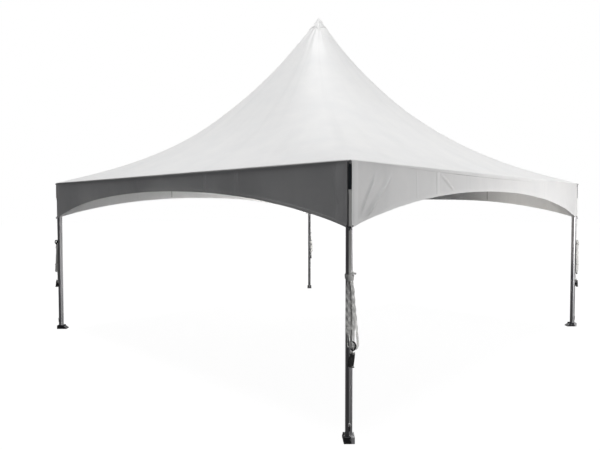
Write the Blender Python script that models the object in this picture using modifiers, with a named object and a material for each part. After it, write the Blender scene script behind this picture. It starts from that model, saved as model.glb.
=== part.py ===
# High peak marquee tent, 20 ft by 20 ft: four legs, eave beams, a mast carried on crossed cables,
# and a white canopy with arched valances. A guy strap is tied up in a hank on each leg.
# Metres, +Z up. The origin is on the ground under the mast, and the sides run along X and Y.
import math

import bmesh
import bpy
from mathutils import Matrix, Vector

# Overall size
BAY = 6.10  # across the canopy, side to side
EAVE = 2.40  # top edge of the valances
PEAK = 5.10  # tip of the peak cap
HALF = BAY / 2
GAP = 0.0003  # between pieces that touch
OVERLAP = 0.020  # of shapes that are joined or cut through
SHARP_ANGLE = math.radians(35)
CLOTH = 0.003  # thickness given to the cloth
ROOF_DROP = 0.004  # upright thickness of the roof cloth, which slopes

# Canopy sweep and arches
CLOTH_TIP = PEAK - 0.006  # where the cloth's sweep would meet over the mast
STRAIGHT_SHARE = 0.335  # share of the rise that is a straight slope
SWEEP_POWER = 2.9  # the rest rises with this power of the way in
PEAK_HOLE = 0.034  # half width of the hole at the peak
ROW_SPACING = 1.6  # power that draws the roof panels' rows towards the peak
CAP_SKIRT = 0.062  # radius of the peak cap's skirt
CAP_LIFT = 0.0022  # over the flat facets of the roof panels
CAP_THICK = 0.003
CAP_TIP = 0.006  # radius of the rounded tip
ARCH_MID = 0.206  # valance depth at mid side
ARCH_TIP = 0.572  # valance depth at a corner
ARCH_SQUARE_SHARE = 0.76  # of the added depth, what grows with the square of the way out
CORNER_SLOT = 0.030  # each valance stops this far short of the corner

# Frame
LEG_WIDTH = 0.060  # across the tent's diagonal
LEG_DEPTH = 0.080  # along the tent's diagonal
LEG_WALL = 0.007
TRACK_WIDTH = 0.008  # the groove for a side wall's edge rope
TRACK_DEPTH = 0.004
BEAM_WIDTH = 0.050
BEAM_HEIGHT = 0.080
BEAM_WALL = 0.003
CORNER_BLOCK = 0.060
SPIGOT_LENGTH = 0.120
SPIGOT_PLAY = 0.001
FRAME_FACE = HALF - CLOTH - GAP  # outer faces of beams and corner blocks
FRAME_TOP = EAVE - ROOF_DROP - GAP
BEAM_BOTTOM = FRAME_TOP - BEAM_HEIGHT
LEG_RADIUS = (FRAME_FACE - LEG_DEPTH / 2 / math.sqrt(2)) * math.sqrt(2)  # mast to leg, on the diagonal
BOLT_RADIUS = 0.009
BOLT_REACH = 0.062  # from the leg's middle, outwards
BOLT_Z = EAVE - 0.020

# Feet
FOOT_WIDTH = 0.094
FOOT_OUT = 0.0525  # block, from the leg's middle each way
FOOT_HEIGHT = 0.060
FOOT_CHAMFER = 0.004
TOE_START = 0.043  # height at which the sloping toe leaves the block
TOE_END = 0.100  # the toe points to the tent's middle
TOE_HEIGHT = 0.012
FOOT_PLATE = 0.010
LEG_PLAY = 0.0004
LEG_BOTTOM = FOOT_PLATE + GAP

# Mast, hub and cables
MAST_RADIUS = 0.030
MAST_WALL = 0.003
MAST_TOP = PEAK - 0.110
HUB_RADIUS = 0.055
HUB_PLATE = 0.020
HUB_TOP = 2.290
HUB_LUG = 0.090
LUG_THICK = 0.010
LUG_HEIGHT = 0.040
CORNER_LUG = 0.110  # reach of a corner lug inwards from the leg's middle
CORNER_LUG_Z = EAVE - 0.055
CABLE_RADIUS = 0.005
SLEEVE_RADIUS = 0.010
SLEEVE_LENGTH = 0.090

# Guy straps, hanks and ratchets
LOOP_WIDTH = 0.040  # black anchor loop on the corner bolt
LOOP_THICK = 0.005
LOOP_BOTTOM = 2.150
STRAP_RADIUS = 0.012
STRAP_OUT = 0.0545  # from the leg's middle to the strap's middle line
STRAP_BOW = 0.010  # how far the strap bows off the leg
HANK_WIDTH = 0.090
HANK_THICK = 0.036
RATCHET_HEIGHT = 0.120
RATCHET_WIDTH = 0.050
RATCHET_THICK = 0.034
PLATE_THICK = 0.004  # side plates of a ratchet
SPOOL_RADIUS = 0.009
PIN_RADIUS = 0.006
GRIP_RADIUS = 0.005
GRIP_OUT = 0.012
HANDLE_END = -0.052  # below the ratchet's middle
RIDGE = LEG_DEPTH / 2

CORNERS = {"front": (-1, -1), "left": (-1, 1), "right": (1, -1), "back": (1, 1)}
SIDES = {"back_right": 0.0, "back_left": math.pi / 2, "front_left": math.pi, "front_right": -math.pi / 2}
# Hank top and bottom, and how far it sits to one side of the leg
HANKS = {
    "front": (1.475, 0.778, 0.014),
    "left": (1.470, 0.805, -0.008),
    "right": (1.440, 0.785, 0.000),
    "back": (1.385, 0.845, -0.030),
}


def clear_scene():
    for obj in list(bpy.data.objects):
        bpy.data.objects.remove(obj, do_unlink=True)


def new_collection(name):
    collection = bpy.data.collections.new(name)
    bpy.context.scene.collection.children.link(collection)
    return collection


def material(name, colour, roughness, metallic):
    mat = bpy.data.materials.new(name)
    mat.use_nodes = True
    shader = mat.node_tree.nodes["Principled BSDF"]
    shader.inputs["Base Color"].default_value = (*colour, 1.0)
    shader.inputs["Roughness"].default_value = roughness
    shader.inputs["Metallic"].default_value = metallic
    return mat


def place(name, data, mat, location=(0, 0, 0), rotation=(0, 0, 0)):
    """Adds one named piece to the tent."""
    obj = bpy.data.objects.new(name, data)
    obj.location = location
    obj.rotation_euler = rotation
    PARTS.objects.link(obj)
    if not data.materials:
        data.materials.append(mat)
    return obj


def corner_yaw(corner):
    """Turn of the corner's frame, whose X points outwards along the diagonal."""
    sx, sy = CORNERS[corner]
    return math.atan2(sy, sx)


def at_leg(corner, out=0.0, across=0.0, z=0.0):
    """A place given in the corner's frame, from the leg's middle line."""
    return Matrix.Rotation(corner_yaw(corner), 4, "Z") @ Vector((LEG_RADIUS + out, across, z))


def flat_outline(name, loops, thickness):
    """A flat outline, with holes, as thick as asked and centred on its own plane."""
    curve = bpy.data.curves.new(name, "CURVE")
    curve.dimensions = "2D"
    curve.fill_mode = "BOTH"
    curve.extrude = thickness / 2
    for loop in loops:
        spline = curve.splines.new("POLY")
        spline.points.add(len(loop) - 1)
        for point, (x, y) in zip(spline.points, loop):
            point.co = (x, y, 0, 1)
        spline.use_cyclic_u = True
    return curve


def box_mesh(name, low, high):
    bm = bmesh.new()
    bmesh.ops.create_cube(bm, size=1.0)
    size = [b - a for a, b in zip(low, high)]
    middle = [(a + b) / 2 for a, b in zip(low, high)]
    bmesh.ops.scale(bm, vec=size, verts=bm.verts)
    bmesh.ops.translate(bm, vec=middle, verts=bm.verts)
    mesh = bpy.data.meshes.new(name)
    bm.to_mesh(mesh)
    bm.free()
    return mesh


def rod_mesh(name, start, end, radius, sides=16):
    """A round bar between two points."""
    start, end = Vector(start), Vector(end)
    bm = bmesh.new()
    turn = (end - start).to_track_quat("Z", "Y").to_matrix().to_4x4()
    bmesh.ops.create_cone(bm, cap_ends=True, segments=sides, radius1=radius, radius2=radius,
                          depth=(end - start).length, matrix=Matrix.Translation((start + end) / 2) @ turn)
    mesh = bpy.data.meshes.new(name)
    bm.to_mesh(mesh)
    bm.free()
    return mesh


def curve_mesh(name, curve, turn=Matrix.Identity(4)):
    """The closed mesh of a curve, turned into place."""
    obj = bpy.data.objects.new(name, curve)
    CUTTERS.objects.link(obj)
    bpy.context.view_layer.update()
    mesh = bpy.data.meshes.new_from_object(obj.evaluated_get(bpy.context.evaluated_depsgraph_get()))
    bpy.data.objects.remove(obj)
    bm = bmesh.new()
    bm.from_mesh(mesh)
    bmesh.ops.remove_doubles(bm, verts=bm.verts, dist=0.00001)
    bmesh.ops.recalc_face_normals(bm, faces=bm.faces)
    bm.transform(turn)
    bm.to_mesh(mesh)
    bm.free()
    mesh.name = name
    return mesh


def combined(name, base, others, operation):
    """One solid from several closed meshes, joined or cut."""
    obj = bpy.data.objects.new(name, base)
    CUTTERS.objects.link(obj)
    helpers = []
    for other in others:
        helper = bpy.data.objects.new(name + "_helper", other)
        helper.hide_render = True
        helper.display_type = "WIRE"
        CUTTERS.objects.link(helper)
        helpers.append(helper)
        boolean = obj.modifiers.new("combine", "BOOLEAN")
        boolean.operation = operation
        boolean.solver = "EXACT"
        boolean.object = helper
    bpy.context.view_layer.update()
    mesh = bpy.data.meshes.new_from_object(obj.evaluated_get(bpy.context.evaluated_depsgraph_get()))
    mesh.name = name
    mesh.materials.clear()
    for piece in [obj] + helpers:
        bpy.data.objects.remove(piece)
    mesh.shade_smooth()
    mesh.set_sharp_from_angle(angle=SHARP_ANGLE)
    return mesh


def leg_outline(width, depth, tracks):
    """The leg's section: two ridges on the diagonal and a flat each side, with edge rope tracks.

    The ridge faces lie at 45 degrees, so they are parallel to the tent's sides.
    """
    half_width, half_depth = width / 2, depth / 2
    shoulder = half_depth - half_width
    corners = [(half_depth, 0), (shoulder, half_width), (-shoulder, half_width),
               (-half_depth, 0), (-shoulder, -half_width), (shoulder, -half_width)]
    if not tracks:
        return corners
    points = []
    for i, start in enumerate(corners):
        start, end = Vector(start), Vector(corners[(i + 1) % len(corners)])
        points.append(start)
        if i in (1, 4):
            continue
        along = (end - start).normalized()
        inward = Vector((-along.y, along.x)) * TRACK_DEPTH
        middle = (start + end) / 2
        near, far = middle - along * TRACK_WIDTH / 2, middle + along * TRACK_WIDTH / 2
        points += [near, near + inward, far + inward, far]
    return [tuple(point) for point in points]


def make_legs():
    shrink = 2 * LEG_WALL
    outer = leg_outline(LEG_WIDTH, LEG_DEPTH, tracks=True)
    inner = leg_outline(LEG_WIDTH - shrink, LEG_DEPTH - shrink * math.sqrt(2), tracks=False)
    top = BEAM_BOTTOM - GAP
    section = flat_outline("leg_section", [outer, inner], top - LEG_BOTTOM)
    for corner in CORNERS:
        place("leg_" + corner, section, ALUMINIUM,
              at_leg(corner, z=(top + LEG_BOTTOM) / 2), (0, 0, corner_yaw(corner)))


def make_feet():
    """A dark block that sleeves the leg, with a sloping toe towards the tent's middle."""
    side_view = [(FOOT_OUT, 0), (FOOT_OUT, FOOT_HEIGHT - FOOT_CHAMFER),
                 (FOOT_OUT - FOOT_CHAMFER, FOOT_HEIGHT), (-FOOT_OUT, FOOT_HEIGHT),
                 (-FOOT_OUT - FOOT_CHAMFER, TOE_START), (-TOE_END, TOE_HEIGHT), (-TOE_END, 0)]
    stand_up = Matrix.Rotation(math.pi / 2, 4, "X")
    block = curve_mesh("foot_block", flat_outline("foot_side", [side_view], FOOT_WIDTH), stand_up)
    play = 2 * LEG_PLAY
    socket_outline = leg_outline(LEG_WIDTH + play, LEG_DEPTH + play * math.sqrt(2), tracks=False)
    depth = FOOT_HEIGHT + OVERLAP
    socket = curve_mesh("foot_socket", flat_outline("foot_socket", [socket_outline], depth),
                        Matrix.Translation((0, 0, FOOT_PLATE + depth / 2)))
    foot = combined("foot", block, [socket], "DIFFERENCE")
    for corner in CORNERS:
        place("foot_" + corner, foot, DARK_STEEL, at_leg(corner), (0, 0, corner_yaw(corner)))


def make_corner_fittings():
    """A block at each corner with spigots for two beams and the leg, a cable lug and a bolt."""
    reach = SPIGOT_LENGTH + CORNER_BLOCK / 2
    half_block = CORNER_BLOCK / 2
    middle_z = (FRAME_TOP + BEAM_BOTTOM) / 2
    spigot_height = BEAM_HEIGHT / 2 - BEAM_WALL - SPIGOT_PLAY
    spigot_width = BEAM_WIDTH / 2 - BEAM_WALL - SPIGOT_PLAY
    beam_inset = half_block - BEAM_WIDTH / 2  # the beam's middle line lies this far outside the block's
    # The block's middle lies on the diagonal, inwards of the leg's ridge
    block_at = RIDGE - half_block * math.sqrt(2)
    square = Matrix.Translation((block_at, 0, 0)) @ Matrix.Rotation(math.pi / 4, 4, "Z")
    block = box_mesh("corner_block", (-half_block, -half_block, BEAM_BOTTOM),
                     (half_block, half_block, FRAME_TOP))
    block.transform(square)
    # In the turned frame both outer faces look along +X and -Y
    arms = []
    low_z, high_z = middle_z - spigot_height, middle_z + spigot_height
    arm_x = box_mesh("arm", (-reach, -beam_inset - spigot_width, low_z),
                     (0, -beam_inset + spigot_width, high_z))
    arm_y = box_mesh("arm", (beam_inset - spigot_width, 0, low_z),
                     (beam_inset + spigot_width, reach, high_z))
    for arm in (arm_x, arm_y):
        arm.transform(square)
        arms.append(arm)
    inside = 2 * LEG_WALL + 2 * SPIGOT_PLAY
    stub_outline = leg_outline(LEG_WIDTH - inside, LEG_DEPTH - inside * math.sqrt(2), tracks=False)
    stub_length = SPIGOT_LENGTH + OVERLAP
    stub = curve_mesh("leg_stub", flat_outline("leg_stub", [stub_outline], stub_length),
                      Matrix.Translation((0, 0, BEAM_BOTTOM + OVERLAP - stub_length / 2)))
    lug = box_mesh("cable_lug", (-CORNER_LUG, -LUG_THICK / 2, CORNER_LUG_Z - LUG_HEIGHT / 2),
                   (0, LUG_THICK / 2, CORNER_LUG_Z + LUG_HEIGHT / 2))
    bolt = rod_mesh("corner_bolt", (0, 0, BOLT_Z), (BOLT_REACH, 0, BOLT_Z), BOLT_RADIUS)
    fitting = combined("corner_fitting", block, arms + [stub, lug, bolt], "UNION")
    for corner in CORNERS:
        place("corner_fitting_" + corner, fitting, STEEL, at_leg(corner), (0, 0, corner_yaw(corner)))


def rectangle(x_low, x_high, y_low, y_high):
    return [(x_low, y_low), (x_high, y_low), (x_high, y_high), (x_low, y_high)]


def make_beams():
    outer = rectangle(FRAME_FACE - BEAM_WIDTH, FRAME_FACE, BEAM_BOTTOM, FRAME_TOP)
    inner = rectangle(FRAME_FACE - BEAM_WIDTH + BEAM_WALL, FRAME_FACE - BEAM_WALL,
                      BEAM_BOTTOM + BEAM_WALL, FRAME_TOP - BEAM_WALL)
    length = 2 * (FRAME_FACE - CORNER_BLOCK - GAP)
    section = flat_outline("beam_section", [outer, inner], length)
    for side, yaw in SIDES.items():
        place("eave_beam_" + side, section, ALUMINIUM, rotation=(math.pi / 2, 0, yaw))


def sweep(way_out):
    """Share of the canopy's rise left at this share of the way from the mast to a corner."""
    way_in = 1 - way_out
    return STRAIGHT_SHARE * way_in + (1 - STRAIGHT_SHARE) * way_in ** SWEEP_POWER


def canopy_height(out, turn):
    """Height of the cloth, at a share out to the eave and a share turn from mid side to the hip.

    Level sections are rounded squares: circles at the mast, and square at the eave.
    """
    power = 2 / max(1 - out, 1e-6)
    way_out = out * ((1 + abs(turn) ** power) / 2) ** (1 / power)
    return EAVE + (CLOTH_TIP - EAVE) * sweep(way_out)


def make_roof_panels():
    """Four gores of cloth that meet on the hips, as thick sheets with upright edges."""
    rows, columns = 14, 12
    inner = PEAK_HOLE / HALF
    bm = bmesh.new()
    bmesh.ops.create_grid(bm, x_segments=rows, y_segments=columns, size=1.0)
    for vert in bm.verts:
        out = inner + (1 - inner) * ((vert.co.x + 1) / 2) ** ROW_SPACING
        turn = vert.co.y
        vert.co = (HALF * out, HALF * out * turn, canopy_height(out, turn))
    lower = bmesh.ops.extrude_face_region(bm, geom=bm.faces[:])
    moved = [item for item in lower["geom"] if isinstance(item, bmesh.types.BMVert)]
    bmesh.ops.translate(bm, vec=(0, 0, -ROOF_DROP), verts=moved)
    bmesh.ops.recalc_face_normals(bm, faces=bm.faces)
    mesh = bpy.data.meshes.new("roof_panel")
    bm.to_mesh(mesh)
    bm.free()
    mesh.shade_smooth()
    mesh.set_sharp_from_angle(angle=SHARP_ANGLE)
    for side, yaw in SIDES.items():
        place("roof_panel_" + side, mesh, CLOTH_WHITE,
              Matrix.Rotation(yaw, 4, "Z") @ Vector((GAP, 0, 0)), (0, 0, yaw))


def arch_depth(along):
    """How far the valance hangs below the eave at this share of the way from mid side to a corner."""
    grows = ARCH_SQUARE_SHARE * along ** 2 + (1 - ARCH_SQUARE_SHARE) * along ** 4
    return ARCH_MID + (ARCH_TIP - ARCH_MID) * grows


def make_valances():
    steps = 28
    end = HALF - CORNER_SLOT
    top = FRAME_TOP
    outline = [(end, top), (-end, top)]
    for i in range(steps + 1):
        y = end * (2 * i / steps - 1)
        outline.append((y, EAVE - arch_depth(y / HALF)))
    sheet = flat_outline("valance", [outline], CLOTH)
    for side, yaw in SIDES.items():
        out = HALF - CLOTH / 2
        place("valance_" + side, sheet, CLOTH_WHITE, (out * math.cos(yaw), out * math.sin(yaw), 0),
              (math.pi / 2, 0, yaw + math.pi / 2))


def turned(name, profile, mat, sides=32):
    """A piece turned about the upright axis from its outer profile, given top to bottom."""
    mesh = bpy.data.meshes.new(name)
    mesh.from_pydata([(x, 0, z) for x, z in profile], [(i, i + 1) for i in range(len(profile) - 1)], [])
    obj = place(name, mesh, mat)
    screw = obj.modifiers.new("turn", "SCREW")
    screw.steps = sides
    screw.render_steps = sides
    screw.use_merge_vertices = True
    screw.merge_threshold = 0.00001
    return obj


def make_mast():
    tube_wall = MAST_RADIUS - MAST_WALL
    bottom = HUB_TOP + GAP
    turned("mast", [(tube_wall, MAST_TOP), (MAST_RADIUS, MAST_TOP), (MAST_RADIUS, bottom),
                    (tube_wall, bottom), (tube_wall, MAST_TOP)], ALUMINIUM)


def make_peak_cap():
    """A crown that plugs the canopy's hole and sheds water over the cloth round it."""
    skirt_z = canopy_height(CAP_SKIRT / HALF, 0.0) + CAP_LIFT
    plug_z = canopy_height(MAST_RADIUS / HALF, 0.0) + CAP_LIFT
    turned("peak_cap", [(0, PEAK), (CAP_TIP, PEAK - CAP_TIP / 3), (CAP_SKIRT, skirt_z + CAP_THICK),
                        (CAP_SKIRT, skirt_z), (MAST_RADIUS, plug_z),
                        (MAST_RADIUS, MAST_TOP + GAP), (0, MAST_TOP + GAP)], CLOTH_WHITE)


def make_hub():
    """The plate under the mast, with four lugs that the cables pull on."""
    plate = rod_mesh("hub_plate", (0, 0, HUB_TOP - HUB_PLATE), (0, 0, HUB_TOP), HUB_RADIUS, 32)
    lugs = []
    for i in range(2):
        lug = box_mesh("hub_lug", (-HUB_LUG, -LUG_THICK / 2, HUB_TOP - HUB_PLATE - LUG_HEIGHT / 2),
                       (HUB_LUG, LUG_THICK / 2, HUB_TOP - HUB_PLATE / 2))
        lug.transform(Matrix.Rotation(math.pi / 4 + i * math.pi / 2, 4, "Z"))
        lugs.append(lug)
    place("mast_hub", combined("mast_hub", plate, lugs, "UNION"), STEEL)


def make_cables():
    """Four taut cables with swaged ends, from the corner lugs to the hub."""
    start_out = HUB_LUG + GAP
    end_out = LEG_RADIUS - CORNER_LUG - GAP
    start_z, end_z = HUB_TOP - HUB_PLATE, CORNER_LUG_Z
    # A square end turned by the slope would cut the lug's face, so the ends stand off by that much
    stand_off = SLEEVE_RADIUS * (end_z - start_z) / (end_out - start_out)
    start_out += stand_off
    end_out -= stand_off
    length = math.hypot(end_out - start_out, end_z - start_z)
    shoulder = SLEEVE_RADIUS
    profile = [(0, length), (SLEEVE_RADIUS, length), (SLEEVE_RADIUS, length - SLEEVE_LENGTH),
               (CABLE_RADIUS, length - SLEEVE_LENGTH - shoulder), (CABLE_RADIUS, SLEEVE_LENGTH + shoulder),
               (SLEEVE_RADIUS, SLEEVE_LENGTH), (SLEEVE_RADIUS, 0), (0, 0)]
    for corner in CORNERS:
        cable = turned("cable_" + corner, profile, STEEL, sides=10)
        turn = Matrix.Rotation(corner_yaw(corner), 4, "Z")
        cable.location = turn @ Vector((start_out, 0, start_z))
        direction = turn @ Vector((end_out - start_out, 0, end_z - start_z))
        cable.rotation_euler = direction.to_track_quat("Z", "Y").to_euler()


def make_anchor_loops():
    """Black webbing hung on each corner bolt, in the slot between two valances."""
    top = BOLT_Z - BOLT_RADIUS - GAP
    loop = box_mesh("anchor_loop", (RIDGE + GAP, -LOOP_WIDTH / 2, LOOP_BOTTOM),
                    (RIDGE + GAP + LOOP_THICK, LOOP_WIDTH / 2, top))
    for corner in CORNERS:
        place("anchor_loop_" + corner, loop, BLACK_WEBBING, at_leg(corner), (0, 0, corner_yaw(corner)))


def strap_points(corner):
    """The strap's way from the anchor loop down to the hank, bowed a little off the leg."""
    top, bottom = LOOP_BOTTOM - GAP, HANKS[corner][0] + GAP
    side = HANKS[corner][2]
    steps = 18
    points = []
    for i in range(steps + 1):
        share = i / steps
        bow = STRAP_BOW * math.sin(math.pi * share) ** 2
        ease = share * share * (3 - 2 * share)
        points.append((STRAP_OUT + bow, side * ease, top + (bottom - top) * share))
    return points


def make_guy_straps():
    for corner in CORNERS:
        curve = bpy.data.curves.new("guy_strap_" + corner, "CURVE")
        curve.dimensions = "3D"
        curve.bevel_depth = STRAP_RADIUS
        curve.bevel_resolution = 2
        curve.use_fill_caps = True
        spline = curve.splines.new("POLY")
        points = strap_points(corner)
        spline.points.add(len(points) - 1)
        for point, (out, across, z) in zip(spline.points, points):
            point.co = (out, across, z, 1)
        place("guy_strap_" + corner, curve, STRAP_GREY, at_leg(corner), (0, 0, corner_yaw(corner)))


def make_hanks():
    """The rest of each guy strap, folded up and down and tied to the leg, as one closed solid."""
    arc_steps = 10
    radius = HANK_WIDTH / 2
    for corner, (top, bottom, side) in HANKS.items():
        outline = []
        for centre, start in ((top - radius, 0.0), (bottom + radius, math.pi)):
            for i in range(arc_steps + 1):
                angle = start + math.pi * i / arc_steps
                outline.append((radius * math.cos(angle), centre + radius * math.sin(angle)))
        hank = flat_outline("guy_hank_" + corner, [outline], HANK_THICK)
        place("guy_hank_" + corner, hank, STRAP_GREY,
              at_leg(corner, out=RIDGE + GAP + HANK_THICK / 2, across=side),
              (math.pi / 2, 0, corner_yaw(corner) + math.pi / 2))


def make_ratchets():
    """Side plates, spool, pins and a folded handle, below each hank."""
    half_width, half_height = RATCHET_WIDTH / 2, RATCHET_HEIGHT / 2
    plate_in, plate_out = 0.012, 0.010
    handle_out = 0.014
    handle_half, tongue_half = 0.018, 0.012
    plates = []
    for side in (-1, 1):
        low, high = sorted((side * half_width, side * (half_width - PLATE_THICK)))
        plates.append(box_mesh("plate", (-plate_in, low, -half_height),
                               (plate_out, high, half_height - plate_in)))
    inside = half_width - PLATE_THICK / 2
    bars = [rod_mesh("bar", (0, -inside, z), (0, inside, z), radius)
            for z, radius in ((0.012, SPOOL_RADIUS), (0.050, SPOOL_RADIUS), (-0.045, PIN_RADIUS))]
    # The handle folds down over the outer side, with a grip bar at its end
    handle = box_mesh("handle", (handle_out - PIN_RADIUS, -handle_half, HANDLE_END),
                      (handle_out, handle_half, 0.030))
    grip = rod_mesh("grip", (GRIP_OUT, -half_width, HANDLE_END),
                    (GRIP_OUT, half_width, HANDLE_END), GRIP_RADIUS)
    tongue = box_mesh("tongue", (-0.003, -tongue_half, 0.005), (0.003, tongue_half, half_height))
    ratchet = combined("ratchet", plates[0], [plates[1], *bars, handle, grip, tongue], "UNION")
    for corner, (top, bottom, side) in HANKS.items():
        place("ratchet_" + corner, ratchet, BLACK_STEEL,
              at_leg(corner, out=RIDGE + GAP + RATCHET_THICK / 2, across=side, z=bottom - GAP - half_height),
              (0, 0, corner_yaw(corner)))


clear_scene()
PARTS = new_collection("marquee_tent")
CUTTERS = new_collection("cutters")
CLOTH_WHITE = material("cloth_white", (0.86, 0.86, 0.85), 0.5, 0.0)
ALUMINIUM = material("aluminium", (0.62, 0.62, 0.63), 0.4, 1.0)
STEEL = material("steel", (0.45, 0.45, 0.46), 0.4, 1.0)
DARK_STEEL = material("dark_steel", (0.07, 0.07, 0.075), 0.5, 0.6)
BLACK_STEEL = material("black_steel", (0.03, 0.03, 0.03), 0.45, 0.7)
BLACK_WEBBING = material("black_webbing", (0.02, 0.02, 0.025), 0.8, 0.0)
STRAP_GREY = material("strap_grey", (0.72, 0.72, 0.70), 0.75, 0.0)

make_legs()
make_feet()
make_corner_fittings()
make_beams()
make_roof_panels()
make_valances()
make_mast()
make_peak_cap()
make_hub()
make_cables()
make_anchor_loops()
make_guy_straps()
make_hanks()
make_ratchets()
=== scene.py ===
"""Looks for the high peak marquee tent: its cloth, seams, straps, ratchets and metal finishes.

Lengths are in metres. A corner's own frame has out along the diagonal away from the mast,
across to the left of it seen from above, and up, and it starts at the leg's middle line.
A side's own frame has out square to the side, and along to the left of it seen from above.
"""
import math

import bpy
import numpy as np
from mathutils import Matrix, Vector


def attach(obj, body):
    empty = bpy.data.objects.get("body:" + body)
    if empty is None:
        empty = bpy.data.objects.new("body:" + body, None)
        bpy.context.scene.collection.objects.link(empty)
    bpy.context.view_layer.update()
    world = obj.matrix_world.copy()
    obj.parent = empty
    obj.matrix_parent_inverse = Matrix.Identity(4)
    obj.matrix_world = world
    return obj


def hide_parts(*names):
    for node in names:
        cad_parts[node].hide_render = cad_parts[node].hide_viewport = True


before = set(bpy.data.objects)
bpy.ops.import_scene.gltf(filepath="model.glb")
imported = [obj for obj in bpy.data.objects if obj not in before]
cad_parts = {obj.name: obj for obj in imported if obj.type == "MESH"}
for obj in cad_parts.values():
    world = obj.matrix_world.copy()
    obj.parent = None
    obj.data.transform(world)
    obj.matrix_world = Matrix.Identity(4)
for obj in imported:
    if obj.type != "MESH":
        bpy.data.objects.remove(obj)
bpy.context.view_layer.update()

# Sizes shared with the frame: half the bay, the eave's and the peak's height, and the gap between pieces that touch
HALF = 3.05
EAVE = 2.40
PEAK = 5.10
GAP = 0.0003
# The roof cloth rises to its tip in a straight share and a power of the way in. The cap's skirt is a radius
CLOTH_TIP = PEAK - 0.006
STRAIGHT_SHARE = 0.335
SWEEP_POWER = 2.9
CAP_SKIRT = 0.062
# How far each arch is below the eave at mid side and at its tips, and the share of that which goes as a square
ARCH_MID = 0.206
ARCH_TIP = 0.572
ARCH_SQUARE_SHARE = 0.76
FRAME_TOP = EAVE - 0.004 - GAP
# From a leg's middle line out to its ridge, and from the mast to that line along the diagonal and along a side
RIDGE = 0.040
LEG_RADIUS = (HALF - 0.003 - GAP) * math.sqrt(2) - RIDGE
LEG_PLACE = round(LEG_RADIUS / math.sqrt(2), 4)
LOOP_BOTTOM = 2.150
RATCHET_OUT = RIDGE + GAP + 0.017
RATCHET_HALF = 0.060
CORNERS = {"front": (-1, -1), "left": (-1, 1), "right": (1, -1), "back": (1, 1)}
SIDES = {"back_right": 0.0, "back_left": math.pi / 2, "front_left": math.pi, "front_right": -math.pi / 2}
# Each hank: its top, its bottom, and how far across its ratchet sits
HANKS = {"front": (1.475, 0.778, 0.014), "left": (1.470, 0.805, -0.008),
         "right": (1.440, 0.785, 0.000), "back": (1.385, 0.845, -0.030)}

# Webbing of the straps, and the anchor loop's two layers out from the leg's middle line, its bend and its width
WEB_WIDTH = 0.025
WEB_THICK = 0.0018
LOOP_BACK, LOOP_FRONT, LOOP_BEND, LOOP_WIDTH = 0.0418, 0.0466, 0.0024, 0.024
STRAP_START = 0.0445
ACROSS, UPRIGHT = (0.0, 1.0, 0.0), (0.0, 0.0, 1.0)

# The photograph's camera
CAMERA_PLACE = (-6.486, -5.765, 2.001)
CAMERA_DOWN, CAMERA_YAW, CAMERA_LENS = 0.0340, -0.8068, 31.37


def stacked(*parts):
    """Numbers and arrays that fit one shape, side by side on a new last axis."""
    return np.stack(np.broadcast_arrays(*parts), -1)


def at_corner(corner, out, across, up):
    """Points from a corner's own frame: (leg radius + out) along the diagonal, across square to it, and up."""
    sx, sy = np.array(CORNERS[corner]) / math.sqrt(2)
    reach = LEG_RADIUS + np.asarray(out, float)
    across, up = np.asarray(across, float), np.asarray(up, float)
    return stacked(reach * sx - across * sy, reach * sy + across * sx, up)


def at_side(side, out, along, up):
    """Points from a side's own frame, turned about the mast by the side's yaw."""
    c, s = math.cos(SIDES[side]), math.sin(SIDES[side])
    out, along, up = (np.asarray(value, float) for value in (out, along, up))
    return stacked(out * c - along * s, out * s + along * c, up)


def in_corner(corner, ways):
    """Directions (n, 3) of a corner's frame, out and across and up, as the tent's own."""
    return at_corner(corner, *ways.T) - at_corner(corner, 0, 0, 0)


def ease(share):
    """Share held to 0..1 and smoothed: 3 share^2 - 2 share^3."""
    share = np.clip(share, 0, 1)
    return share * share * (3 - 2 * share)


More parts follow.
